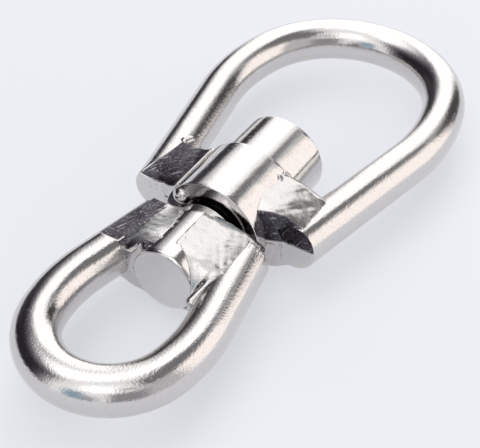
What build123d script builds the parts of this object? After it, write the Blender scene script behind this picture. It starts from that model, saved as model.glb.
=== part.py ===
from build123d import *
import math
import os

# Welded eye-and-eye anchor swivel: a large bow on a bored collar, and a small bow on a headed pin.
# The headed pin runs through the collar and carries the small bow, so the two eyes turn freely
# about the swivel axis.  Millimetres.  The swivel axis is X, with the large bow towards +X; both
# bows lie flat in the XY plane and Z is square to them.  The origin is on the swivel axis, midway
# between the two far ends of the bows.

os.makedirs("parts", exist_ok=True)

# ---------------------------------------------------------------- driving dimensions
bar_radius = 8.0              # both bows are bent from 16 mm round bar

collar_radius = 18.5
collar_length = 26.0
collar_edge = 0.5             # broken edge round both ends
bore_clearance = 0.1          # radial running clearance of the pin in the collar
countersink = 0.3             # 45 degree lead-in at the lower mouth of the bore

pin_radius = 12.0
pin_reach = 28.5              # the pin runs this far past the collar's lower face
pin_end_chamfer = 0.8
neck_radius = 10.2            # relief turned in the pin where it leaves the collar
neck_below = 2.2              # the relief's lower shoulder, below the collar's lower face
neck_inside = 1.0             # how far the relief carries on up into the bore
head_radius = 16.0
head_gap = 0.1                # seam between the head and the collar's upper face
head_length = 21.4
head_edge = 0.4

# Bow outlines, measured along X from the collar's lower face and across from the swivel axis.
# Each is a tip arc, two flatter flank arcs and two straight legs that close in on the collar or pin.
large_tip_centre = 88.5
large_tip_radius = 39.5
large_tip_half_angle = 73.0
large_flank_radius = 70.0
large_leg_end = (6.5, 27.5)

small_tip_centre = 54.0
small_tip_radius = 24.0
small_tip_half_angle = 77.0
small_flank_radius = 53.0
small_leg_end = (5.0, 17.5)

# Grinder flats on the welded leg ends: height above the bow plane where each flat starts, and its
# slope along the leg, in degrees.
large_flat_height = 4.6
large_flat_slope = 24.0
large_flat_inner = 21.5       # the large flat stops this far from the swivel axis
small_flat_height = 7.2
small_flat_inner = 15.0

# Weld runs.  A section is a row of (across, above) points from the collar or pin to the leg.
large_weld_span = (4.5, 26.0)     # along X, from the collar's lower face
small_weld_span = (4.0, 28.0)     # back along X, from the collar's lower face
large_left_top = [(12.0, 14.3), (22.5, 6.2), (31.0, 6.2)]
large_right_top = [(12.5, 13.6), (22.0, 10.6), (30.0, 7.8)]
small_left_top = [(5.5, 10.8), (15.0, 7.2), (20.0, 7.2)]
small_right_top = [(3.5, 11.6), (12.0, 10.2), (20.0, 7.9)]
large_under = [(14.0, 12.3), (27.0, 7.4)]
small_under = [(7.0, 10.0), (18.0, 7.4)]
end_grind_foot = 1.5              # the large right leg end and weld are ground back above this
end_grind_lean = 13.0             # and the ground face leans back from upright by this many degrees

# ---------------------------------------------------------------- derived places
large_reach = large_tip_centre + large_tip_radius + bar_radius
small_reach = small_tip_centre + small_tip_radius + bar_radius
collar_face = (small_reach - large_reach) / 2      # X of the collar's lower face
bore_radius = pin_radius + bore_clearance
SPAN = 300.0                                       # longer than the whole swivel
MARGIN = 10.0                                      # leg bar drawn past its end before it is cut


def half_outline(tip_centre, tip_radius, tip_half_angle, flank_radius, leg_end):
    """Joints of one half of a bow's centre line: leg end, leg to flank, mid flank, flank to tip."""
    angle = math.radians(tip_half_angle)
    flank_x = tip_centre + (tip_radius - flank_radius) * math.cos(angle)
    flank_y = (tip_radius - flank_radius) * math.sin(angle)
    to_end = (leg_end[0] - flank_x, leg_end[1] - flank_y)
    tangent = math.atan2(to_end[1], to_end[0]) - math.acos(flank_radius / math.hypot(*to_end))
    on_flank = [
        (flank_x + flank_radius * math.cos(a), flank_y + flank_radius * math.sin(a))
        for a in (tangent, (tangent + angle) / 2, angle)
    ]
    leg = (on_flank[0][0] - leg_end[0], on_flank[0][1] - leg_end[1])
    overrun = MARGIN / math.hypot(*leg)
    start = (leg_end[0] - leg[0] * overrun, leg_end[1] - leg[1] * overrun)
    return [start, *on_flank]


def bent_bar(tip_centre, tip_radius, tip_half_angle, flank_radius, leg_end, way):
    """A bow of round bar that opens from its leg ends towards way (+1 or -1) along X."""
    half = half_outline(tip_centre, tip_radius, tip_half_angle, flank_radius, leg_end)

    def at(point, side):
        return (collar_face + way * point[0], side * point[1])

    start, leg_top, mid_flank, flank_top = half
    tip = (tip_centre + tip_radius, 0.0)
    path = Line(at(start, 1), at(leg_top, 1))
    path += ThreePointArc(at(leg_top, 1), at(mid_flank, 1), at(flank_top, 1))
    path += ThreePointArc(at(flank_top, 1), at(tip, 1), at(flank_top, -1))
    path += ThreePointArc(at(flank_top, -1), at(mid_flank, -1), at(leg_top, -1))
    path += Line(at(leg_top, -1), at(start, -1))
    bar = sweep(Plane(origin=path @ 0, z_dir=path % 0) * Circle(bar_radius), path=path)
    cut_at = collar_face + way * leg_end[0]
    return bar - Pos(cut_at - way * SPAN / 2, 0, 0) * Box(SPAN, SPAN, SPAN)


def above_flat(x, inner, height, slope):
    """What a grinder flat takes off the left leg: from inner outwards, climbing along X from x."""
    block = Pos(0, SPAN / 2, SPAN / 2) * Box(SPAN, SPAN, SPAN)
    return Pos(x, inner, height) * Rot(0, -slope, 0) * block


def ground_end(x):
    """What the grinder takes off the free end of the right leg and its weld, above the foot at x."""
    block = Pos(-SPAN / 2, -SPAN / 2, SPAN / 2) * Box(SPAN, SPAN, SPAN)
    return Pos(x, 0, end_grind_foot) * Rot(0, end_grind_lean, 0) * block


def axis_cylinder(radius, start, end):
    """A cylinder on the swivel axis between two places measured from the collar's lower face."""
    middle = collar_face + (start + end) / 2
    return Pos(middle, 0, 0) * Rot(0, 90, 0) * Cylinder(radius, end - start)


def turned(profile):
    """A solid of revolution about the swivel axis from (along, radius) points."""
    points = [(collar_face + along, radius, 0) for along, radius in profile]
    return revolve(make_face(Polyline(*points, close=True)), Axis.X)


def weld_run(section, span, way, side, level):
    """A weld run between two stations, its section rising (or hanging, level -1) from the bow plane."""
    first, last = section[0], section[-1]
    outline = [(first[0], 0.0), *section, (last[0], 0.0)]
    x = collar_face + way * span[0]
    points = [(x, side * across, level * above) for across, above in outline]
    face = make_face(Polyline(*points, close=True))
    return extrude(face, amount=span[1] - span[0], dir=(way, 0, 0))


# ---------------------------------------------------------------- collar
collar_top = collar_length
collar = turned([
    (0.0, bore_radius + countersink),
    (countersink, bore_radius),
    (collar_top, bore_radius),
    (collar_top, collar_radius - collar_edge),
    (collar_top - collar_edge, collar_radius),
    (collar_edge, collar_radius),
    (0.0, collar_radius - collar_edge),
])

# ---------------------------------------------------------------- headed pin
head_foot = collar_top + head_gap
head_top = head_foot + head_length
pin = turned([
    (-pin_reach, 0.0),
    (-pin_reach, pin_radius - pin_end_chamfer),
    (-pin_reach + pin_end_chamfer, pin_radius),
    (-neck_below, pin_radius),
    (-neck_below, neck_radius),
    (neck_inside, neck_radius),
    (neck_inside, pin_radius),
    (head_foot, pin_radius),
    (head_foot, head_radius - head_edge),
    (head_foot + head_edge, head_radius),
    (head_top - head_edge, head_radius),
    (head_top, head_radius - head_edge),
    (head_top, 0.0),
])

# ---------------------------------------------------------------- bows
large_end_x = collar_face + large_leg_end[0]
left_large_flat = above_flat(large_end_x, large_flat_inner, large_flat_height, large_flat_slope)
left_small_flat = above_flat(collar_face, small_flat_inner, small_flat_height, 0.0)
left_small_flat &= Pos(collar_face, 0, 0) * Box(2 * small_weld_span[1], SPAN, SPAN)

large_bow = bent_bar(
    large_tip_centre, large_tip_radius, large_tip_half_angle, large_flank_radius, large_leg_end, 1
)
large_bow -= left_large_flat
large_bow -= ground_end(large_end_x)
small_bow = bent_bar(
    small_tip_centre, small_tip_radius, small_tip_half_angle, small_flank_radius, small_leg_end, -1
)
small_bow -= axis_cylinder(pin_radius, -pin_reach - MARGIN, 0.0)     # leg ends coped to the pin
small_bow -= left_small_flat

# ---------------------------------------------------------------- weld runs
collar_round = axis_cylinder(collar_radius, -MARGIN, collar_top + MARGIN)
pin_round = axis_cylinder(pin_radius, -pin_reach - MARGIN, MARGIN)
right_end_x = collar_face + large_weld_span[0]

welds = {
    "large_weld_left_top": weld_run(large_left_top, large_weld_span, 1, 1, 1) - left_large_flat,
    "large_weld_right_top": weld_run(large_right_top, large_weld_span, 1, -1, 1) - ground_end(right_end_x),
    "large_weld_left_under": weld_run(large_under, large_weld_span, 1, 1, -1),
    "large_weld_right_under": weld_run(large_under, large_weld_span, 1, -1, -1),
    "small_weld_left_top": weld_run(small_left_top, small_weld_span, -1, 1, 1) - left_small_flat,
    "small_weld_right_top": weld_run(small_right_top, small_weld_span, -1, -1, 1),
    "small_weld_left_under": weld_run(small_under, small_weld_span, -1, 1, -1),
    "small_weld_right_under": weld_run(small_under, small_weld_span, -1, -1, -1),
}
for name in welds:
    if name.startswith("large"):
        welds[name] = welds[name] - collar_round - large_bow
    else:
        welds[name] = welds[name] - pin_round - small_bow

# ---------------------------------------------------------------- write one file per piece
pieces = {
    "large_bow": large_bow,
    "swivel_collar": collar,
    "swivel_pin": pin,
    "small_bow": small_bow,
    **welds,
}
for name, shape in pieces.items():
    export_step(shape, f"parts/{name}.step")
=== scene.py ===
import math

import bpy
import numpy as np
from mathutils import Matrix, Vector


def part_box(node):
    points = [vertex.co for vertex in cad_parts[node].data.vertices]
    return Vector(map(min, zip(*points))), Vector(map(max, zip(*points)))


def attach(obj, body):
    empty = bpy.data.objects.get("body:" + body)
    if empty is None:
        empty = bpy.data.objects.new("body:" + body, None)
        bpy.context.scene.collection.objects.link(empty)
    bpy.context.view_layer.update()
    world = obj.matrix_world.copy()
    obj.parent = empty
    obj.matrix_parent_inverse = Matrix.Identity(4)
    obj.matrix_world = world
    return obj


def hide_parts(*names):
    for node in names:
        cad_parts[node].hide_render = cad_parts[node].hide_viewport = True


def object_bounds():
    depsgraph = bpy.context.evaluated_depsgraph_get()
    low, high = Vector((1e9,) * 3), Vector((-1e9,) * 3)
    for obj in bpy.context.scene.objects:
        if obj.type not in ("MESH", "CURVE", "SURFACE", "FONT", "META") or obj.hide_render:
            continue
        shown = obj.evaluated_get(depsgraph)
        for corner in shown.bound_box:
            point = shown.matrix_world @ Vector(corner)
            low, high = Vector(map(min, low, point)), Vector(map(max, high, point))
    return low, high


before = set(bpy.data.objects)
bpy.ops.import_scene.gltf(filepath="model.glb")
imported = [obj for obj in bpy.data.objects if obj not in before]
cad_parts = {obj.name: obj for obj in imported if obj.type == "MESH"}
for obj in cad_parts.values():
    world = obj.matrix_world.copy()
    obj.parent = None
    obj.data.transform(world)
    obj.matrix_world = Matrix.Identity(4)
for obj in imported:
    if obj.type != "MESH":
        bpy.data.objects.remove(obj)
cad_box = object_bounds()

# The shapes below are worked out in millimetres in a bow's own frame: t along the swivel axis from
# the collar's lower face towards the bow's tip, a across from the axis, h up or down from the plane
# of the bows.  way, side and level (+1 or -1) turn that into the CAD frame's X, Y and Z.
MM = 0.001

# ---------------------------------------------------------------- driving dimensions
collar_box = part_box("swivel_collar")
pin_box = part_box("swivel_pin")
COLLAR_RADIUS = collar_box[1].y / MM
COLLAR_LENGTH = 26.0
COLLAR_FACE = collar_box[1].x / MM - COLLAR_LENGTH
COUNTERSINK = 0.3                 # lead-in at the lower mouth of the bore
CLEARANCE = 0.1                   # of the pin in the bore, and of the head above the collar
PIN_RADIUS = 12.0
PIN_REACH = COLLAR_FACE - pin_box[0].x / MM
PIN_END_CHAMFER = 0.8
HEAD_RADIUS = pin_box[1].y / MM
HEAD_TOP = pin_box[1].x / MM - COLLAR_FACE
HEAD_FOOT = COLLAR_LENGTH + CLEARANCE
BORE_RADIUS = PIN_RADIUS + CLEARANCE
BAR_RADIUS = 8.0
NECK_RADIUS = 10.2                # relief turned in the pin where it leaves the collar
NECK_LENGTH = 2.2                 # how far the relief runs below the collar's lower face
NECK_INSIDE = 1.0                 # how far it carries on up into the bore

WAVINESS, WAVE_LENGTH = 0.03, 14.0      # of the hand-polished bar


# ---------------------------------------------------------------- fields and waves
def smooth_max(a, b, k):
    """The larger of two fields, rounded over a width k where they meet."""
    d = np.clip(k - np.abs(a - b), 0.0, None)
    return np.maximum(a, b) + d * d / (4 * k)


def smooth_min(a, b, k):
    """The smaller of two fields, rounded over a width k where they meet."""
    return -smooth_max(-a, -b, k)


def rise(x):
    """Grows from 0 for positive x."""
    return np.clip(x, 0.0, None)


def step(x, low, high):
    """Climbs smoothly from 0 at low to 1 at high."""
    u = np.clip((x - low) / (high - low), 0.0, 1.0)
    return u * u * (3 - 2 * u)


WAVES = [(0.9, 0.3, 0.2, 0.34), (-0.4, 0.8, 0.5, 0.33), (0.3, -0.5, 0.9, 0.33)]  # direction, weight


def swell(x, y, z, length, seed=0.0):
    """Smooth unevenness from crossing waves, about -1 to 1, with features of the given length."""
    k = 2 * math.pi / length
    total = 0.0
    for i, (u, v, w, weight) in enumerate(WAVES):
        bend = 1.3 * np.sin(0.43 * k * (w * x + u * y + v * z) + 2.1 * i + seed)
        total = total + weight * np.sin(k * (u * x + v * y + w * z) + 1.7 * i + seed + bend)
    return total


def flat_swell(t, a, length, seed=0.0):
    """The same unevenness over a face, whatever the height."""
    return swell(t, a, 0 * t, length, seed)


def arch(a, start, width):
    """Rises from 0 at start to 1 and back to 0 over a width."""
    return np.sin(math.pi * np.clip((a - start) / width, 0, 1))


class Bow:
    """A bow's centre line: two straight legs, two flatter flank arcs and the tip arc."""

    def __init__(self, node, body, way, tip_centre, tip_radius, tip_half_angle, flank_radius, leg_end):
        self.node, self.body, self.way = node, body, way
        self.tip_centre, self.tip_radius, self.flank_radius = tip_centre, tip_radius, flank_radius
        self.tip_angle = math.radians(tip_half_angle)
        inward = tip_radius - flank_radius
        self.flank_t = tip_centre + inward * math.cos(self.tip_angle)
        self.flank_a = inward * math.sin(self.tip_angle)
        self.end = np.array(leg_end)
        to_end = self.end - (self.flank_t, self.flank_a)
        self.leg_angle = math.atan2(to_end[1], to_end[0]) - math.acos(flank_radius / np.hypot(*to_end))
        self.leg_top = np.array(self.on_flank(self.leg_angle))
        self.leg_length = np.hypot(*(self.leg_top - self.end))
        self.leg = (self.leg_top - self.end) / self.leg_length

    def on_flank(self, angle):
        reach = self.flank_radius
        return self.flank_t + reach * np.cos(angle), self.flank_a + reach * np.sin(angle)

    def middle(self, t):
        """How far across the bar's centre is at a station on the leg."""
        return self.end[1] + (t - self.end[0]) * self.leg[1] / self.leg[0]

    def distance(self, t, a, h):
        """Distance from the bar's surface near one leg, negative inside the bar."""
        dt, da = t - self.end[0], a - self.end[1]
        along = dt * self.leg[0] + da * self.leg[1]
        off_leg = np.abs(da * self.leg[0] - dt * self.leg[1])
        off_arc = np.abs(np.hypot(t - self.flank_t, a - self.flank_a) - self.flank_radius)
        off = np.where(along < self.leg_length, off_leg, off_arc)
        return np.maximum(np.hypot(off, h) - BAR_RADIUS, self.end[0] - t)


LARGE = Bow("large_bow", "large_eye", 1, tip_centre=88.5, tip_radius=39.5, tip_half_angle=73.0,
            flank_radius=70.0, leg_end=(6.5, 27.5))
SMALL = Bow("small_bow", "small_eye", -1, tip_centre=54.0, tip_radius=24.0, tip_half_angle=77.0,
            flank_radius=53.0, leg_end=(5.0, 17.5))


# ---------------------------------------------------------------- grinder work
UNCUT = 8.02                      # just above the bar: the large flat runs out to this height
LARGE_CUT, LARGE_CUT_MIDDLE = 3.6, 28.7     # depth of the large flat at the leg's end, and where across
LARGE_CUT_FADE = 3.2              # how quickly the flat runs out along the leg
LARGE_FLAT_EDGE = 30.9            # how far out the grinder reached on the large left leg
SMALL_FLAT = 7.2
GROUND_TO = 26.4                  # the large left leg's flat ends here
END_BEVEL, BEVEL_FOOT = 0.23, 1.5       # lean of the large right leg's ground end, and where it starts
LEG_ZONE = 45                     # grinder work stays nearer the collar than this


def large_flat(t, a):
    """Height left by the grinder on the large bow's left leg end and weld."""
    depth = rise(LARGE_CUT - 0.03 * (a - LARGE_CUT_MIDDLE) ** 2)
    return UNCUT - depth * np.exp(-(t - LARGE.end[0]) / LARGE_CUT_FADE) + 0.06 * flat_swell(t, a, 5.0)


def large_ground_edge(t):
    """How far out the large left leg is ground, falling in towards the far end of the flat."""
    return LARGE_FLAT_EDGE - 0.13 * rise(t - 8.0) + 2.5 * np.exp(-(t - LARGE.end[0]) / 3.5)


def small_flat(t, a):
    """Height left by the grinder on the small bow's left leg end."""
    level = SMALL_FLAT + 0.05 * flat_swell(t, a, 6.0, 2.0)
    return level + 1.2 * step(t, 26.6, 28.0)


def bevelled(start, h):
    """Where the large right weld's free end stands at height h: upright, then leaning back."""
    return start + END_BEVEL * rise(h - BEVEL_FOOT)


# ---------------------------------------------------------------- meshes
def add_piece(name, points, faces, ways, body, node, material, marks):
    """A mesh piece from points in a bow's frame, riding on a body in place of a CAD node.

    ways is (way, side, level), and marks are values from 0 up at each point, which the steel reads.
    """
    place = np.asarray(points, float) * ways
    place[:, 0] += COLLAR_FACE
    faces = [list(face) for face in faces]
    a, b, c = (place[[face[i] for face in faces]] for i in range(3))
    volume = np.einsum("ij,ij->i", a - place.mean(0), np.cross(b - a, c - a)).sum()
    if volume < 0:
        faces = [face[::-1] for face in faces]
    mesh = bpy.data.meshes.new(name)
    mesh.from_pydata((place * MM).tolist(), [], faces)
    mesh.validate()
    mesh.shade_smooth()
    for mark, values in marks.items():
        layer = mesh.attributes.new(mark, "FLOAT", "POINT")
        layer.data.foreach_set("value", np.asarray(values, np.float32))
    mesh.materials.append(material)
    piece = bpy.data.objects.new(name, mesh)
    bpy.context.scene.collection.objects.link(piece)
    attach(piece, body)
    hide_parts(node)


def grid_faces(rows, around):
    """Quads between rings of the same size, closed round the ring."""
    faces = []
    for i in range(rows - 1):
        for j in range(around):
            k = (j + 1) % around
            low, high = i * around, (i + 1) * around
            faces.append((low + j, low + k, high + k, high + j))
    return faces


RING = 112                        # points round the bar
FINE, COARSE = 0.3, 0.75          # spacing of the rings on the straight legs and elsewhere
CAP_ROWS = [(0.35, 0.0), (0.12, 0.08), (0.0, 0.3)]     # rounded rim of a sawn end: along, inwards
CAP_SHARES = [0.08, 0.18, 0.3, 0.42, 0.54, 0.66, 0.78, 0.9]      # rings inside it, from the middle
WELDS_MIDDLE, WELDS_HALF, HEAT_FADE = 16, 12, 5.0       # where the welds heated the bar


def half_bar(bow):
    """Rings of points round one half of a bow, from its leg end to the middle of its tip."""
    turn = np.arange(RING) * 2 * math.pi / RING
    out, up = BAR_RADIUS * np.cos(turn), BAR_RADIUS * np.sin(turn)
    normal = np.array((-bow.leg[1], bow.leg[0]))
    rim = bow.leg_top[:, None] + normal[:, None] * out
    length = (rim[0] - bow.end[0]) / bow.leg[0]
    rows = []
    for u in np.linspace(0.0, 1.0, int(bow.leg_length / FINE)):
        back = length * (1 - u)
        rows.append((rim[0] - bow.leg[0] * back, rim[1] - bow.leg[1] * back, up))
    start, stop = bow.leg_angle, bow.tip_angle
    count = int(bow.flank_radius * (start - stop) / COARSE)
    for angle in np.linspace(start, stop, count)[1:]:
        reach = bow.flank_radius + out
        along, across = reach * math.cos(angle), reach * math.sin(angle)
        rows.append((bow.flank_t + along, bow.flank_a + across, up))
    count = int(bow.tip_radius * stop / COARSE)
    for angle in np.linspace(stop, 0.0, count)[1:]:
        reach = bow.tip_radius + out
        rows.append((bow.tip_centre + reach * math.cos(angle), reach * math.sin(angle), up))
    return np.array(rows).transpose(0, 2, 1)


def sawn_end(ring, bow):
    """Rows that round off a leg end and close it, from the middle outwards."""
    middle = ring.mean(0)
    rows = []
    for share in CAP_SHARES:
        rows.append(middle + (ring - middle) * share)
    for along, inwards in reversed(CAP_ROWS):
        row = middle + (ring - middle) * (1 - inwards / BAR_RADIUS)
        rows.append(row + (along * bow.leg[0], along * bow.leg[1], 0.0))
    for row in rows:
        rough = 0.05 * flat_swell(row[:, 1], row[:, 2], 2.2)
        row[:, 0] += rough * np.clip(1 - (row[:, 0] - bow.end[0]) / 0.3, 0, 1)
    return np.array(rows)


def cut_left(rows, bow, top):
    """Lowers the left leg's points to the ground face and says where the grinder cut."""
    t, a, h = rows[..., 0], rows[..., 1], rows[..., 2]
    cap = top(t, a)
    cut = step(h - cap, -0.05, 0.12) * (t < LEG_ZONE)
    if bow is LARGE:
        near = step(large_ground_edge(t) - a, -0.2, 0.2)
        cut = np.maximum(cut * near, near * step(h, 3.0, 4.0)) * step(-t, -GROUND_TO, 0.5 - GROUND_TO)
    rows[..., 2] = np.where(t < LEG_ZONE, smooth_min(h, cap, 0.25), h)
    return cut


def bevel_end(rows):
    """Grinds the top of the right leg's end back to the bevel and says where."""
    face = bevelled(LARGE.end[0], rows[..., 2])
    cut = step(face + 0.15 - rows[..., 0], 0.0, 0.1) * step(rows[..., 2], 1.2, 1.9)
    rows[..., 0] = np.maximum(rows[..., 0], face)
    return cut


def add_bow(bow, top, material):
    """A bow's bar: both halves with their ground leg ends, joined at the tip."""
    left = half_bar(bow)
    right = half_bar(bow)
    for half, side in ((left, 1), (right, -1)):
        wave = swell(half[..., 0], side * half[..., 1], half[..., 2], WAVE_LENGTH)
        half[..., 2] *= 1 + WAVINESS / BAR_RADIUS * wave
    cut = cut_left(left, bow, top)
    cap_left, cap_right = sawn_end(left[0], bow), sawn_end(right[0], bow)
    cut_cap = np.zeros(cap_left.shape[:2])
    cut_cap_right = cut_cap
    cut_right = np.zeros(right.shape[:2])
    if bow is LARGE:
        cut_cap_right = bevel_end(cap_right)
        cut_right = bevel_end(right)
    right[..., 1] *= -1
    cap_right[..., 1] *= -1
    rows = np.concatenate([cap_left, left[1:], right[-2:0:-1], cap_right[::-1]])
    ground = np.concatenate([cut_cap, cut[1:], cut_right[-2:0:-1], cut_cap_right[::-1]])
    if bow is SMALL:
        # the leg ends are coped to the pin
        coped = PIN_RADIUS + 0.05
        radius = np.hypot(rows[..., 1], rows[..., 2])
        inside = (radius < coped) & (rows[..., 0] < PIN_REACH)
        push = np.where(inside, coped / np.maximum(radius, 1e-6), 1.0)
        rows[..., 1] *= push
        rows[..., 2] *= push
    points = rows.reshape(-1, 3)
    faces = grid_faces(len(rows), RING)
    last = len(points)
    points = np.concatenate([points, [rows[0].mean(0), rows[-1].mean(0)]])
    for j in range(RING):
        k = (j + 1) % RING
        faces.append((k, j, last))
        faces.append((last + 1, last - RING + j, last - RING + k))
    ground = np.concatenate([ground.reshape(-1), [0.0, 0.0]])
    heat = np.exp(-rise(np.abs(points[:, 0] - WELDS_MIDDLE) - WELDS_HALF) / HEAT_FADE)
    marks = {"ground": ground, "heat": heat * 0.6}
    name = bow.node + "_bar"
    add_piece(name, points, faces, (bow.way, 1, 1), bow.body, bow.node, material, marks)


# ---------------------------------------------------------------- turned pieces
AROUND = 192                      # points round a turned piece
TURNED_GAP = 1.2                  # longest step along its outline


def rounded(profile, closed):
    """Rounds the corners of a profile of (along, radius, rounding) points."""
    out = []
    corners = [np.array(point[:2], float) for point in profile]
    last = len(corners) - 1
    for i, here in enumerate(corners):
        rounding = profile[i][2]
        if rounding <= 0 or (not closed and i in (0, last)):
            out.append(here)
            continue
        into, away = corners[i - 1] - here, corners[(i + 1) % len(corners)] - here
        into, away = into / np.hypot(*into), away / np.hypot(*away)
        for u in np.linspace(0, 1, 6):
            out.append(here + into * rounding * (1 - u) ** 2 + away * rounding * u ** 2)
    return out


def filled(profile, closed, gap):
    """Adds points along the straight runs so that no gap is longer than gap."""
    out = []
    ends = profile[1:] + (profile[:1] if closed else [])
    for here, there in zip(profile, ends):
        count = max(1, int(np.hypot(*(there - here)) / gap))
        for i in range(count):
            out.append(here + (there - here) * i / count)
    if not closed:
        out.append(profile[-1])
    return out


def turned(profile, closed):
    """Points and faces of a solid turned about the swivel axis; closed for a ring with a bore."""
    outline = filled(rounded(profile, closed), closed, TURNED_GAP)
    turn = np.arange(AROUND) * 2 * math.pi / AROUND
    if closed:
        rings, tips = outline, None
    else:
        rings, tips = outline[1:-1], (outline[0], outline[-1])
    points = []
    for along, radius in rings:
        points += [(along, radius * math.cos(x), radius * math.sin(x)) for x in turn]
    faces = grid_faces(len(rings), AROUND)
    if closed:
        last = (len(rings) - 1) * AROUND
        for j in range(AROUND):
            k = (j + 1) % AROUND
            faces.append((last + j, last + k, k, j))
    else:
        points += [(tips[0][0], 0.0, 0.0), (tips[1][0], 0.0, 0.0)]
        first, end, last = len(points) - 2, len(points) - 1, (len(rings) - 1) * AROUND
        for j in range(AROUND):
            k = (j + 1) % AROUND
            faces.append((first, k, j))
            faces.append((end, last + j, last + k))
    return np.array(points), faces


def add_collar(material):
    profile = [
        (0.0, BORE_RADIUS + COUNTERSINK, 0.1),
        (COUNTERSINK, BORE_RADIUS, 0.1),
        (COLLAR_LENGTH, BORE_RADIUS, 0.2),
        (COLLAR_LENGTH, COLLAR_RADIUS, 0.5),
        (0.0, COLLAR_RADIUS, 0.35),
    ]
    points, faces = turned(profile, closed=True)
    along, radius = points[:, 0], np.hypot(points[:, 1], points[:, 2])
    outside = step(radius, 17.0, 18.0)
    bump = 0.02 * outside * swell(points[:, 0], points[:, 1], points[:, 2], 9.0)
    points[:, 1:] *= (1 + bump / radius)[:, None]
    radius = np.hypot(points[:, 1], points[:, 2])
    # painted shade round the mouth of the bore, carried to the steel as the dark mark
    shade = step(-radius, -13.2, -12.5) * step(-along, -1.0, 0.2)
    marks = {"ground": 0 * along, "heat": 0.25 + 0 * along, "dark": shade}
    ways = (1, 1, 1)
    body, node = "large_eye", "swivel_collar"
    add_piece("collar_ring", points, faces, ways, body, node, material, marks)


def add_pin(material):
    profile = [
        (-PIN_REACH, 0.0, 0),
        (-PIN_REACH, PIN_RADIUS - PIN_END_CHAMFER, 0.4),
        (-PIN_REACH + PIN_END_CHAMFER, PIN_RADIUS, 0.6),
        (-NECK_LENGTH, PIN_RADIUS, 0.25),
        (-NECK_LENGTH, NECK_RADIUS, 0.2),
        (NECK_INSIDE, NECK_RADIUS, 0.2),
        (NECK_INSIDE, PIN_RADIUS, 0.2),
        (HEAD_FOOT, PIN_RADIUS, 0.1),
        (HEAD_FOOT, HEAD_RADIUS, 0.3),
        (HEAD_TOP, HEAD_RADIUS, 0.45),
        (HEAD_TOP, 0.0, 0),
    ]
    points, faces = turned(profile, closed=False)
    along, radius = points[:, 0], np.hypot(points[:, 1], points[:, 2])
    # painted shade on the neck of the pin, inside the gap below the collar
    dark = step(along, -NECK_LENGTH - 0.1, -NECK_LENGTH + 0.1) * step(-along, -1.3, -0.9)
    dark = dark * step(-radius, -PIN_RADIUS + 0.1, -PIN_RADIUS + 0.4)
    heat = step(-along, 10.0, 24.0)
    marks = {"ground": 0 * along, "heat": 0.2 + 0.3 * heat, "dark": dark}
    ways = (1, 1, 1)
    add_piece("headed_pin", points, faces, ways, "small_eye", "swivel_pin", material, marks)


# ---------------------------------------------------------------- weld metal
EMBED = 0.15                      # how far weld metal is drawn into the steel it joins
NUDGES, PROBE = 3, 0.02           # times a weld's points are moved onto its field, and the slope's step
CRUMB = 1200                      # a loose part of a weld's mesh with fewer faces than this is left out
FLAT_FACE, ROUNDED = 0.92, 0.6    # how steeply the top's field climbs, and how round its edges are
CORE_BREAK = 0.8                  # broken edge on the ends of the collar or pin
NO_END = 99                       # the collar or pin runs on past the weld
LARGE_WELD, SMALL_WELD = (4.5, 26.0), (4.0, 28.2)       # where the runs start and stop along t
RIPPLE_PITCH = 1.7                # from ripple to ripple of a weld as laid
LEFT_SLANT, RIGHT_SLANT, SLANT_FROM = 0.28, 0.40, 24.0      # free ends slant back towards the collar
RIM_OUT, RIM_PLACE, RIM_BEAD = 0.9, 27.1, 1.7           # the ring of weld round the pin's end


def without_crumbs(points, faces):
    """Leaves out the loose crumbs of a mesh."""
    label = np.arange(len(points))
    settled = False
    while not settled:
        before = label.copy()
        lowest = label[faces].min(1)
        for corner in faces.T:
            np.minimum.at(label, corner, lowest)
        label = label[label]
        settled = (label == before).all()
    part = label[faces[:, 0]]
    faces = faces[np.bincount(part)[part] >= CRUMB]
    used, renumbered = np.unique(faces, return_inverse=True)
    return points[used], renumbered.reshape(faces.shape)


def surface(field, low, high, cell):
    """A closed mesh of the surface where field is zero: one point per mixed cell, quads between."""
    axes = [np.arange(first - 2 * cell, last + 3 * cell, cell) for first, last in zip(low, high)]
    value = field(*np.meshgrid(*axes, indexing="ij"))
    for axis in range(3):
        border = [slice(None)] * 3
        for end in (0, -1):
            border[axis] = end
            value[tuple(border)] = np.maximum(value[tuple(border)], cell)
    shape = np.array(value.shape)
    total, count = np.zeros((value.size, 3)), np.zeros(value.size)
    quads = []
    for axis in range(3):
        near = np.take(value, range(shape[axis] - 1), axis)
        far = np.take(value, range(1, shape[axis]), axis)
        edges = np.argwhere((near < 0) != (far < 0))
        start, end = near[tuple(edges.T)], far[tuple(edges.T)]
        crossing = edges.astype(float)
        crossing[:, axis] += start / (start - end)
        u, v = (axis + 1) % 3, (axis + 2) % 3
        cells = []
        for du, dv in ((0, 0), (-1, 0), (-1, -1), (0, -1)):
            place = edges.copy()
            place[:, u] += du
            place[:, v] += dv
            index = np.ravel_multi_index(place.T, shape)
            np.add.at(total, index, crossing)
            np.add.at(count, index, 1)
            cells.append(index)
        quad = np.stack(cells, 1)
        quad[start >= 0] = quad[start >= 0][:, ::-1]
        quads.append(quad)
    used = np.flatnonzero(count)
    points = total[used] / count[used][:, None] * cell + [axis[0] for axis in axes]
    renumber = np.zeros(value.size, int)
    renumber[used] = np.arange(len(used))
    points, faces = without_crumbs(points, renumber[np.concatenate(quads)])
    for _ in range(NUDGES):
        here = field(*points.T)
        slope = np.stack([field(*(points + d).T) - here for d in PROBE * np.eye(3)], 1) / PROBE
        move = -(here / np.maximum((slope ** 2).sum(1), 0.2))[:, None] * slope
        points += np.clip(move, -cell / 2, cell / 2)
    return points, faces.tolist()


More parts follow.
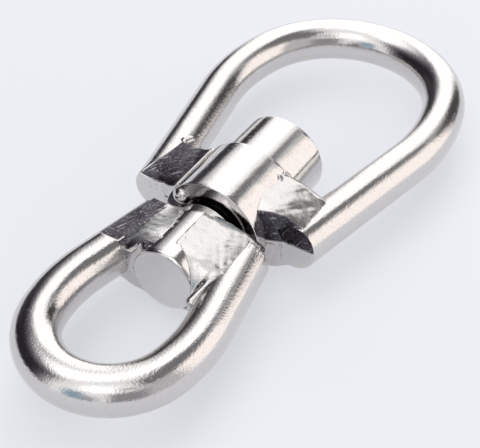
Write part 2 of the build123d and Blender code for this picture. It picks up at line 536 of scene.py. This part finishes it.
def weld_body(bow, core_radius, fill, low_end, high_end, extra=None, overlap=6.3, embed=EMBED,
              core_ends=(-NO_END, NO_END)):
    """The field of a weld run under its top surface, between the core (collar or pin) and one leg.

    extra adds to the field, overlap is how far the weld reaches past the middle of the bar, embed is
    how far it is drawn into the bar, and core_ends is where the core starts and stops.
    """
    def field(t, a, h):
        f = FLAT_FACE * (h - fill(t, a))
        f = smooth_max(f, low_end(t, a, h), ROUNDED)
        f = smooth_max(f, high_end(t, a, h), ROUNDED)
        if extra is not None:
            f = extra(f, t, a, h)
        f = smooth_max(f, a - bow.middle(t) - overlap, 2.0 if overlap > 3.5 else 0.01)
        f = np.maximum(f, 1.0 - a)
        f = np.maximum(f, 0.02 - h)
        f = np.maximum(f, -(bow.distance(t, a, h) + embed))
        inside, along = core_radius - np.hypot(a, h), np.minimum(t - core_ends[0], core_ends[1] - t)
        core = np.minimum(np.minimum(inside, along), 0.7 * (inside + along - CORE_BREAK))
        return np.maximum(f, core - EMBED)
    return field


def bead(t, a, h, start, end, radius):
    """A rounded bead between two points, as a distance."""
    start, end = np.array(start, float), np.array(end, float)
    run = end - start
    along = ((t - start[0]) * run[0] + (a - start[1]) * run[1] + (h - start[2]) * run[2]) / run.dot(run)
    along = np.clip(along, 0, 1)
    gap = (t - start[0] - along * run[0]) ** 2 + (a - start[1] - along * run[1]) ** 2
    return np.sqrt(gap + (h - start[2] - along * run[2]) ** 2) - radius


def large_left():
    """A ground flat on the leg, a facet up to the collar and a lump on the collar's lower face."""
    def fill(t, a):
        edge = 17.0 + (t - 8.0) / 3.0
        facet = 7.3 + 0.42 * (edge - a) + 0.05 * flat_swell(t, a, 2.5)
        flat = large_flat(t, a)
        past = a - LARGE.middle(t) + np.sqrt(rise(BAR_RADIUS ** 2 - flat ** 2))
        past = np.maximum(past, a - large_ground_edge(t) + 1.6)
        dive = 0.06 * step(past, 0.2, 1.8) + 0.6 * step(past, 1.2, 3.0)
        return smooth_max(flat, facet, 0.25) - dive

    def low(t, a, h):
        rough = 0.10 * swell(t, a, h, 2.6) * step(-a, -SLANT_FROM, -20.0)
        return LARGE.end[0] - LEFT_SLANT * rise(SLANT_FROM - a) - t + rough

    def high(t, a, h):
        return t - LARGE_WELD[1] + 0.3 * swell(t, a, h, 4.0)

    def extra(f, t, a, h):
        strip = bead(t, a, h, (25.6, 16.0, 9.7), (4.6, 16.3, 9.0), 0.95)
        thumb = bead(t, a, h, (27.4, 28.9, 6.4), (29.4, 28.2, 6.1), 2.0)
        lump = bead(t, a, h, (1.5, 12.2, 9.2), (1.2, 11.7, 9.5), 3.3)
        f = smooth_min(smooth_min(f, strip, 0.5), thumb, 0.1)
        return smooth_min(f, lump, 0.6)

    ends = (0, NO_END)
    return weld_body(LARGE, COLLAR_RADIUS, fill, low, high, extra, overlap=2.5, embed=2.5, core_ends=ends)


def right_wall(t, a, h):
    """How far short of the large right weld's ground free end a point is."""
    return bevelled(LARGE.end[0] + 0.05 - RIGHT_SLANT * rise(SLANT_FROM - a), h) - t


def large_right():
    """A smooth rounded deposit, ground at its free end, with toe beads by the collar."""
    def fill(t, a):
        chord = 13.1 - 0.30 * (a - 13.3) - 0.5 * rise(a - 30.0)
        lumps = 0.16 * flat_swell(t, a, 6.5, 1.0) + 0.04 * flat_swell(t, a, 2.4, 4.0)
        fall = 0.135 * rise(t - 23.0) ** 2
        return chord + 0.8 * arch(a, 13.0, 17.0) + lumps - fall - 0.10 * rise(11.0 - t) ** 1.5

    def low(t, a, h):
        return right_wall(t, a, h) + 0.07 * swell(t, a, h, 3.4) + 0.04 * swell(t, a, h, 1.1)

    def high(t, a, h):
        return t - 29.4 + 0.03 * (a - 24.0) ** 2

    def extra(f, t, a, h):
        near_leg = bead(t, a, h, (25.2, 13.3, 12.6), (25.6, 14.4, 11.6), 1.1)
        near_collar = bead(t, a, h, (22.4, 12.8, 13.1), (21.8, 13.6, 12.6), 0.9)
        return smooth_min(f, np.minimum(near_leg, near_collar), 0.25)

    return weld_body(LARGE, COLLAR_RADIUS, fill, low, high, extra)


def pin_rim(t, a, h):
    """A ring of weld metal round the rim of the pin's end, as a distance."""
    return np.hypot(np.hypot(a, h) - (PIN_RADIUS + RIM_OUT), t - RIM_PLACE) - RIM_BEAD


def pin_end_mass(f, t, a, h):
    """Weld metal built up round the pin's end on top, towards the small left leg."""
    return smooth_min(f, smooth_max(pin_rim(t, a, h), 8.0 - a, 1.5), 1.4)


def pin_end_mass_under(f, t, a, h):
    """The same metal where it carries on below the plane of the bows."""
    return smooth_min(f, smooth_max(pin_rim(t, a, h), h - 2.5, 1.5), 1.4)


def small_left():
    """A scratched fillet from the pin up to the ground flat on the leg, with spatter at its toe."""
    def fill(t, a):
        fillet = 7.25 + 0.365 * rise(15.0 - a) + 0.10 * flat_swell(t, 0.5 * a, 2.6, 3.0)
        climb = 0.13 * (np.minimum(t, 21.0) - 12.0) - 0.30 * rise(t - 21.0)
        fillet = fillet + climb * arch(a, 4.5, 11.0)
        toe = 0.10 * rise(t - 25.5) ** 2
        return np.minimum(fillet - toe, small_flat(t, a) + 9.0 * rise(15.4 - a))

    def low(t, a, h):
        return 3.3 - t + 0.2 * swell(t, a, h, 3.0)

    def high(t, a, h):
        return t - SMALL_WELD[1] + 0.3 * rise(a - 15.0)

    def extra(f, t, a, h):
        spatter = bead(t, a, h, (27.6, 21.5, 7.2), (28.6, 18.6, 6.0), 0.8)
        spatter = smooth_min(spatter, bead(t, a, h, (28.9, 16.8, 4.6), (28.9, 16.4, 3.0), 1.1), 0.5)
        return pin_end_mass(smooth_min(f, spatter, 0.6), t, a, h)

    ends = (-NO_END, PIN_REACH)
    return weld_body(SMALL, PIN_RADIUS, fill, low, high, extra, overlap=3.3, core_ends=ends)


def small_right():
    """A smooth deposit over the pin with a long bead at its toe."""
    def fill(t, a):
        chord = 11.9 - 0.24 * (a - 3.0) - 0.12 * rise(a - 19.0)
        lumps = 0.07 * flat_swell(t, a, 8.0, 2.0) + 0.05 * flat_swell(t, a, 2.8, 5.0)
        near_pin = 0.10 * flat_swell(t, a, 3.2, 1.0) * step(-a, -8.0, -4.0)
        lumps = lumps * step(abs(a - 5.0), -1.0, 3.0) + near_pin
        fall = 0.09 * rise(t - 20.5) ** 2
        return chord + 0.45 * arch(a, 3.0, 16.0) + lumps - fall - 0.05 * rise(7.0 - t) ** 2

    def low(t, a, h):
        return 2.5 - t + 0.1 * rise(8.0 - a) + 0.1 * swell(t, a, h, 3.4)

    def high(t, a, h):
        return t - 30.5 + 0.25 * swell(t, a, h, 2.8)

    def extra(f, t, a, h):
        toe = bead(t, a, h, (24.0, 17.0, 5.5), (33.2, 14.6, 2.2), 2.0)
        return smooth_min(f, toe, 1.5)

    return weld_body(SMALL, PIN_RADIUS, fill, low, high, extra)


def under(bow, core_radius, inner, outer, span, extra=None):
    """A weld run as laid: a shallow convex bead with its ripples left on."""
    width = outer[0] - inner[0]

    def fill(t, a):
        share = (a - inner[0]) / width
        chord = inner[1] + (outer[1] - inner[1]) * share
        crown = 0.9 * np.sin(math.pi * np.clip(share, 0, 1)) - 2.0 * rise(share - 1) * width * 0.4
        laid = t + 1.9 * (2 * share - 1) ** 2 + 0.9 * flat_swell(t, a, 5.0) + 0.35 * flat_swell(t, a, 2.1)
        depth = 0.05 + 0.05 * flat_swell(t, a, 7.0, 3.0)
        ripple = depth * np.cos(2 * math.pi * laid / RIPPLE_PITCH)
        ripple += 0.12 * flat_swell(t, a, 4.5, 2.0)
        fall = 0.12 * rise(t - span[1] + 3.0) ** 2
        return chord + crown + ripple - fall - 0.12 * rise(span[0] + 3.0 - t) ** 2

    def low(t, a, h):
        start = np.maximum(span[0], bow.end[0] + 0.6 - 0.35 * rise(bow.end[1] - 2.0 - a))
        return start - t + 0.2 * swell(t, a, h, 3.0)

    def high(t, a, h):
        return t - span[1] + 0.2 * swell(t, a, h, 3.0, 2.0)

    ends = (-NO_END, NO_END if extra is None else PIN_REACH)
    return weld_body(bow, core_radius, fill, low, high, extra, core_ends=ends)


# Where the grinder cut each weld, and where the small left one was brushed, as marks from 0 to 1.
def not_ground(t, a, h):
    return 0 * t


def large_left_ground(t, a, h):
    past_end = step(t + LEFT_SLANT * rise(SLANT_FROM - a), 6.5, 6.9)
    return step(a, 15.8, 17.4) * step(-t, -26.3, -25.8) * past_end


def large_right_ground(t, a, h):
    return step(right_wall(t, a, h), -0.7, -0.4) * step(h, 0.9, 1.6)


def small_left_ground(t, a, h):
    on_leg = np.maximum(step(a, 14.4, 15.6), step(t + 0.3 * (10 - a), 23.5, 25.0))
    return step(-t, -28.0, -27.4) * on_leg


def small_left_brushed(t, a, h):
    return step(-t, -25.5, -23.0) * step(-a, -15.4, -14.6) * step(a, 4.5, 6.5)


def add_weld(name, field, span, reach, bow, side, level, cell, ground, material, brushed=None):
    """Meshes a weld's field over span (along) and reach (across from, across to, up to)."""
    points, faces = surface(field, (span[0], reach[0], 0.0), (span[1], reach[1], reach[2]), cell)
    t, a, h = points.T
    near_end = step(-t, -8.5, -7.0) * step(-a, -27.0, -21.0) if bow is LARGE else 0 * t
    marks = {"ground": ground(t, a, h), "heat": 0.7 + 0.9 * near_end}
    if brushed is not None:
        marks["brushed"] = brushed(t, a, h)
    ways = (bow.way, side, level)
    add_piece(name + "_bead", points, faces, ways, bow.body, name, material, marks)


# ---------------------------------------------------------------- camera
CAMERA_PLACE = (-0.27589, -0.16747, 0.27722)
CAMERA_AZIMUTH = 31.888        # the way it looks, from +X towards +Y, in degrees
CAMERA_DIP = 42.315            # how far down it looks
CAMERA_ROLL = 0.469
LENS_MM = 91.84
SENSOR_MM = 36.0


def add_camera():
    azimuth, dip = math.radians(CAMERA_AZIMUTH), math.radians(CAMERA_DIP)
    level = math.cos(dip)
    forward = Vector((level * math.cos(azimuth), level * math.sin(azimuth), -math.sin(dip)))
    data = bpy.data.cameras.new("camera")
    data.lens = LENS_MM
    data.sensor_width = SENSOR_MM
    data.clip_start = 0.01
    camera = bpy.data.objects.new("camera", data)
    bpy.context.scene.collection.objects.link(camera)
    roll = Matrix.Rotation(math.radians(CAMERA_ROLL), 4, "Z").to_quaternion()
    turn = forward.to_track_quat("-Z", "Y") @ roll
    camera.matrix_world = Matrix.Translation(CAMERA_PLACE) @ turn.to_matrix().to_4x4()
    bpy.context.scene.camera = camera


# ---------------------------------------------------------------- node helpers
class Graph:
    """A short way to write a node tree: add a node, set its inputs, read its first output."""

    def __init__(self, tree):
        self.tree = tree
        tree.nodes.clear()

    def add(self, kind, *inputs, out=0, **settings):
        node = self.tree.nodes.new(kind)
        for key, value in settings.items():
            setattr(node, key, value)
        for i, value in enumerate(inputs):
            self.put(node.inputs[i], value)
        return node.outputs[out]

    def put(self, socket, value):
        if value is None:
            return
        if isinstance(value, bpy.types.NodeSocket):
            self.tree.links.new(value, socket)
        else:
            socket.default_value = value

    def math(self, operation, *inputs):
        return self.add("ShaderNodeMath", *inputs, operation=operation)

    def ramp(self, value, low, high, start=0.0, end=1.0):
        return self.add("ShaderNodeMapRange", value, low, high, start, end, interpolation_type="SMOOTHSTEP")

    def mix(self, share, a, b):
        node = self.tree.nodes.new("ShaderNodeMix")
        node.data_type = "RGBA"
        self.put(node.inputs[0], share)
        self.put(node.inputs[6], a)
        self.put(node.inputs[7], b)
        return node.outputs[2]

    def noise(self, place, scale, detail=2.0, rough=0.5, distortion=0.0):
        return self.add("ShaderNodeTexNoise", place, None, scale, detail, rough, None, None, distortion)

    def mark(self, name):
        return self.add("ShaderNodeAttribute", attribute_name=name, out=2)

    def stretched(self, place, scale, turn=0.0):
        """Coordinates pulled out along one direction, for scratches."""
        return self.add("ShaderNodeMapping", place, (0, 0, 0), (0, 0, turn), scale)


# ---------------------------------------------------------------- materials
def tone(red, green, blue):
    """A colour as a shader socket takes it."""
    return (red, green, blue, 1)


HEAT_PALE, HEAT_BROWN = tone(0.60, 0.56, 0.52), tone(0.40, 0.29, 0.20)
BURNT = tone(0.44, 0.345, 0.275)              # the most heated metal
GRAIN_DARK = tone(0.30, 0.285, 0.285)
PIT_DARK = tone(0.22, 0.20, 0.20)
# ground faces: painted dark reflection, near-black with paler blotches
GROUND_DARK_REFLECTION, GROUND_PALE_REFLECTION = tone(0.030, 0.026, 0.036), tone(0.085, 0.08, 0.095)
FLECK, ARC_BRIGHT = tone(0.42, 0.40, 0.44), tone(0.80, 0.79, 0.80)
UNLIT = tone(0.004, 0.004, 0.004)             # painted shade inside the gap between the collar and the pin
# brush scratches are real; their near-white and dark streaks are painted sheen
BRUSH_SHEEN_BRIGHT, BRUSH_SHEEN_DARK = tone(0.98, 0.97, 0.96), tone(0.14, 0.13, 0.14)
RING_DARK = tone(0.34, 0.325, 0.325)
DISC_CENTRE = (-0.075, -0.045, 0.0)           # of the grinding disc's arcs, well off the part
SCUFFS = [(0.4, 26.0), (1.3, 22.0), (2.4, 30.0)]        # turn and stretch of each set of fine scratches
GRAIN_SCALE, MOTTLE_SCALE, BLOTCH_SCALE, PIT_SCALE = 1500.0, 2000.0, 160.0, 900.0      # per metre
TINT_SCALE, UNEVEN_SCALE, RING_SCALE = 260.0, 700.0, 1900.0
ARC_SCALE, ARC_RUN = 2600.0, 9.0              # across the disc's arcs and along them
BRUSH_STRETCH, BRUSH_TURN = (2600.0, 240.0, 900.0), 0.5
BUMP_REACH = 0.00001                          # metres of height in one unit of bump


def length_of(g, x, y):
    """The length of (x, y), as nodes."""
    return g.math("SQRT", g.math("ADD", g.math("MULTIPLY", x, x), g.math("MULTIPLY", y, y)))


def steel(name, base, rough, grain, mottling, scratch, uneven=0.0, lathe=0.0):
    """Stainless steel with grain, scratches and pits; rougher where a grinder cut it, and painted
    near-black there as the dark reflection of its ground faces.
    """
    material = bpy.data.materials.new(name)
    material.use_nodes = True
    g = Graph(material.node_tree)
    place = g.add("ShaderNodeTexCoord", out=3)
    ground, heat, dark, brushed = g.mark("ground"), g.mark("heat"), g.mark("dark"), g.mark("brushed")

    fine = g.noise(place, GRAIN_SCALE, 2.0, 0.6)
    mottle = g.noise(place, MOTTLE_SCALE, 2.0, 0.65)
    blotch = g.noise(place, BLOTCH_SCALE, 4.0, 0.6)
    pit = g.ramp(g.noise(place, PIT_SCALE, 2.0, 0.5), 0.72, 0.80)
    scuffs = []
    for turn, stretch in SCUFFS:
        line = g.noise(g.stretched(place, (stretch * 60, 60.0, 900.0), turn), 1.0, 1.0, 0.4)
        scuffs.append(g.ramp(line, 0.70, 0.76))
    scuff = g.math("MAXIMUM", g.math("MAXIMUM", scuffs[0], scuffs[1]), scuffs[2])

    # arcs left by the grinding disc
    offset = g.add("ShaderNodeVectorMath", place, DISC_CENTRE, operation="SUBTRACT")
    x, y, z = g.add("ShaderNodeSeparateXYZ", offset).node.outputs
    reach = length_of(g, x, y)
    sweep = g.math("ARCTAN2", y, x)
    across, along = g.math("MULTIPLY", reach, ARC_SCALE), g.math("MULTIPLY", sweep, ARC_RUN)
    arc = g.noise(g.add("ShaderNodeCombineXYZ", across, along, None), 1.0, 3.0, 0.6, 0.4)
    arc_line = g.ramp(arc, 0.58, 0.72)
    arc_on = g.math("MULTIPLY", g.math("MULTIPLY", arc_line, ground), 0.85)

    # colour: heat tint, grain and pits, then what the grinder left under a painted dark reflection, the
    # painted shade in the gap, and brush marks with painted streaks of sheen
    tint = g.mix(g.ramp(g.noise(place, TINT_SCALE, 3.0, 0.6), 0.45, 0.75), HEAT_PALE, HEAT_BROWN)
    colour = g.mix(g.math("MULTIPLY", heat, g.ramp(blotch, 0.45, 0.7, 0.0, 0.7)), (*base, 1), tint)
    colour = g.mix(g.ramp(heat, 1.0, 1.6, 0.0, 0.8), colour, BURNT)
    colour = g.mix(g.ramp(mottle, 0.64, 0.40, 0.0, mottling), colour, GRAIN_DARK)
    colour = g.mix(g.math("MULTIPLY", pit, 0.5), colour, PIT_DARK)
    # painted dark reflection on the ground faces, with random blotches, real flecks and the disc's arcs
    # over it
    ground_marks_and_reflection = g.mix(g.ramp(blotch, 0.35, 0.65), GROUND_DARK_REFLECTION, GROUND_PALE_REFLECTION)
    fleck = g.ramp(g.noise(place, GRAIN_SCALE, 2.0, 0.7), 0.52, 0.72)
    ground_marks_and_reflection = g.mix(g.math("MULTIPLY", fleck, 0.55), ground_marks_and_reflection, FLECK)
    ground_marks_and_reflection = g.mix(arc_on, ground_marks_and_reflection, ARC_BRIGHT)
    colour = g.mix(ground, colour, ground_marks_and_reflection)
    # painted shade in the gap between the collar and the pin
    colour = g.mix(dark, colour, UNLIT)
    # real brush scratches, painted as bright and dark streaks of sheen
    stripe = g.noise(g.stretched(place, BRUSH_STRETCH, BRUSH_TURN), 1.0, 2.0, 0.6)
    colour = g.mix(g.math("MULTIPLY", brushed, g.ramp(stripe, 0.36, 0.56)), colour, BRUSH_SHEEN_BRIGHT)
    colour = g.mix(g.math("MULTIPLY", brushed, g.ramp(stripe, 0.36, 0.28)), colour, BRUSH_SHEEN_DARK)

    patchy = g.ramp(blotch, 0.3, 0.7, rough - 0.03, rough + 0.05)
    roughness = g.math("ADD", patchy, g.math("MULTIPLY", scuff, 0.12))
    roughness = g.math("ADD", roughness, g.math("MULTIPLY", ground, 0.24))
    roughness = g.math("ADD", roughness, g.math("MULTIPLY", brushed, 0.20))
    roughness = g.math("ADD", roughness, g.ramp(heat, 1.0, 1.6, 0.0, 0.12))

    height = g.math("MULTIPLY", fine, grain)
    height = g.math("SUBTRACT", height, g.math("MULTIPLY", scuff, scratch))
    height = g.math("SUBTRACT", height, g.math("MULTIPLY", pit, 0.4))
    height = g.math("ADD", height, g.math("MULTIPLY", g.math("MULTIPLY", arc, ground), 2.5))
    height = g.math("ADD", height, g.math("MULTIPLY", g.math("MULTIPLY", stripe, brushed), 7.0))
    if lathe:
        x, y, z = g.add("ShaderNodeSeparateXYZ", place).node.outputs
        across = g.math("MULTIPLY", length_of(g, y, z), RING_SCALE)
        along = g.math("MULTIPLY", x, RING_SCALE)
        cut_ring = g.noise(g.add("ShaderNodeCombineXYZ", along, across, None), 1.0, 3.0, 0.6)
        height = g.math("ADD", height, g.math("MULTIPLY", cut_ring, lathe))
        colour = g.mix(g.ramp(cut_ring, 0.50, 0.36, 0.0, 0.05), colour, RING_DARK)
    if uneven:
        wavy = g.noise(place, UNEVEN_SCALE, 3.0, 0.55)
        height = g.math("ADD", height, g.math("MULTIPLY", wavy, uneven))
    bump = g.add("ShaderNodeBump", 1.0, BUMP_REACH, None, height)
    node = g.tree.nodes.new("ShaderNodeBsdfPrincipled")
    g.put(node.inputs["Base Color"], colour)
    node.inputs["Metallic"].default_value = 1.0
    g.put(node.inputs["Roughness"], roughness)
    g.put(node.inputs["Normal"], bump)
    out = g.tree.nodes.new("ShaderNodeOutputMaterial")
    g.put(out.inputs[0], node.outputs[0])
    return material


# ---------------------------------------------------------------- studio
# Soft panels round the object, later ones over earlier ones: what it stands for, azimuth, elevation,
# half width, half height, soft edge (all in degrees), strength and colour.
PANELS = [
    ("ceiling", 60, 90, 78, 38, 16, 1.72, (1.0, 1.0, 1.0)),
    ("grey_corner", -62, 57, 50, 17, 9, 0.24, (1.0, 0.98, 1.0)),
    ("light_wall", -94, 16, 24, 30, 10, 0.66, (1.0, 0.98, 1.0)),
    ("warm_window", -52, 17, 21, 25, 8, 1.46, (1.0, 0.935, 0.895)),
    ("photographer", -132, 10, 19, 26, 10, 0.36, (1.0, 0.98, 1.04)),
    ("lamp_arm", -130, 49, 9, 4, 5, 0.25, (1.0, 0.92, 1.05)),
    ("table_edge", -132, -3, 23, 4.5, 5, 0.04, (1.0, 0.95, 1.05)),
    ("low_shelf", -174, 6, 12, 14, 12, 0.5, (0.95, 0.97, 1.0)),
    ("left_window", -166, 52, 20, 14, 10, 1.8, (1.0, 1.0, 1.0)),
    ("blue_things", 174, 14, 10, 16, 10, 0.5, (0.70, 0.97, 1.15)),
    ("front_window", 21, 26, 21, 34, 8, 1.6, (1.0, 1.0, 0.99)),
    ("dark_gap", -18, 19, 14, 18, 9, 0.09, (1.0, 0.97, 1.0)),
    ("dim_room", 97, 16, 50, 37, 18, 0.30, (1.0, 0.95, 1.05)),
    ("dark_room", 96, 12, 41, 30, 24, 0.03, (1.0, 0.88, 1.15)),
    ("dark_floor_edge", 62, 5, 20, 14, 8, 0.06, (1.0, 0.95, 1.05)),
]
WALL = 1.16                       # strength of the room where no panel stands
BACKDROP = (0.87, 0.875, 0.92, 1.0)     # what the camera sees behind the floor
FLOOR_HALF = 3.0
FLOOR_COLOUR = (0.40, 0.40, 0.425, 1.0)
FLOOR_GLOW, FLOOR_GLOW_STRENGTH = (0.93, 0.95, 1.0, 1.0), 0.51      # keeps the shadows light


def add_world():
    world = bpy.data.worlds.new("studio")
    world.use_nodes = True
    bpy.context.scene.world = world
    g = Graph(world.node_tree)
    direction = g.add("ShaderNodeTexCoord", out=0)
    unit = g.add("ShaderNodeVectorMath", direction, operation="NORMALIZE")
    x, y, z = g.add("ShaderNodeSeparateXYZ", unit).node.outputs
    azimuth = g.math("ARCTAN2", y, x)
    elevation = g.math("ARCSINE", z)
    colour = (WALL, WALL, WALL, 1.0)
    for _, az, el, half_w, half_h, edge, strength, tint in PANELS:
        edge = math.radians(edge)
        off = g.math("WRAP", g.math("SUBTRACT", azimuth, math.radians(az)), math.pi, -math.pi)
        across = g.math("ABSOLUTE", off)
        up = g.math("ABSOLUTE", g.math("SUBTRACT", elevation, math.radians(el)))
        masks = []
        for value, half in ((across, half_w), (up, half_h)):
            half = math.radians(half)
            masks.append(g.ramp(value, half - edge / 2, half + edge / 2, 1.0, 0.0))
        colour = g.mix(g.math("MULTIPLY", *masks), colour, (*[strength * c for c in tint], 1.0))
    lit = g.add("ShaderNodeBackground", colour, 1.0)
    plain = g.add("ShaderNodeBackground", BACKDROP, 1.0)
    seen = g.add("ShaderNodeLightPath", out=0)
    shader = g.add("ShaderNodeMixShader", seen, lit, plain)
    output = g.tree.nodes.new("ShaderNodeOutputWorld")
    g.put(output.inputs[0], shader)


def add_floor():
    low, half = cad_box[0][2], FLOOR_HALF
    corners = [(-half, -half, low), (half, -half, low), (half, half, low), (-half, half, low)]
    mesh = bpy.data.meshes.new("floor")
    mesh.from_pydata(corners, [], [(0, 1, 2, 3)])
    floor = bpy.data.objects.new("floor", mesh)
    bpy.context.scene.collection.objects.link(floor)
    material = bpy.data.materials.new("pale_floor")
    material.use_nodes = True
    bsdf = material.node_tree.nodes["Principled BSDF"]
    bsdf.inputs["Base Color"].default_value = FLOOR_COLOUR
    bsdf.inputs["Roughness"].default_value = 0.6
    bsdf.inputs["Specular IOR Level"].default_value = 0.2
    bsdf.inputs["Emission Color"].default_value = FLOOR_GLOW
    bsdf.inputs["Emission Strength"].default_value = FLOOR_GLOW_STRENGTH
    mesh.materials.append(material)


add_camera()
add_world()
add_floor()

bar_steel = steel("polished_bar", base=(0.68, 0.66, 0.65), rough=0.06, grain=6.0, mottling=0.12,
                  scratch=1.2)
turned_steel = steel("turned_steel", base=(0.69, 0.67, 0.665), rough=0.065, grain=3.0, mottling=0.08,
                     scratch=1.0, lathe=1.2)
weld_steel = steel("weld_metal", base=(0.60, 0.58, 0.57), rough=0.17, grain=2.0, mottling=0.14,
                   scratch=2.5, uneven=3.0)

add_bow(LARGE, large_flat, bar_steel)
add_bow(SMALL, small_flat, bar_steel)
add_collar(turned_steel)
add_pin(turned_steel)

TOP, UNDER = 0.3, 0.42            # cell of the meshes of the welds on top and underneath
add_weld("large_weld_left_top", large_left(), (-4.0, 32.0), (9.0, 38.0, 14.5), LARGE, 1, 1, TOP,
         large_left_ground, weld_steel)
add_weld("large_weld_right_top", large_right(), (0.0, 31.0), (11.0, 38.0, 15.5), LARGE, -1, 1, TOP,
         large_right_ground, weld_steel)
add_weld("small_weld_left_top", small_left(), (1.5, 32.0), (2.0, 28.0, 13.0), SMALL, 1, 1, TOP,
         small_left_ground, weld_steel, small_left_brushed)
add_weld("small_weld_right_top", small_right(), (1.5, 37.0), (1.0, 28.0, 14.0), SMALL, -1, 1, TOP,
         not_ground, weld_steel)
for side, word, mass in ((1, "left", pin_end_mass_under), (-1, "right", None)):
    run = under(LARGE, COLLAR_RADIUS, (14.0, 12.3), (28.0, 7.8), LARGE_WELD)
    add_weld(f"large_weld_{word}_under", run, (3.0, 28.0), (12.0, 38.0, 14.0), LARGE, side, -1, UNDER,
             not_ground, weld_steel)
    run = under(SMALL, PIN_RADIUS, (6.0, 10.4), (19.0, 7.8), SMALL_WELD, mass)
    add_weld(f"small_weld_{word}_under", run, (2.5, 31.0), (2.0, 28.0, 13.0), SMALL, side, -1, UNDER,
             not_ground, weld_steel)

bpy.context.scene.view_settings.view_transform = "Standard"
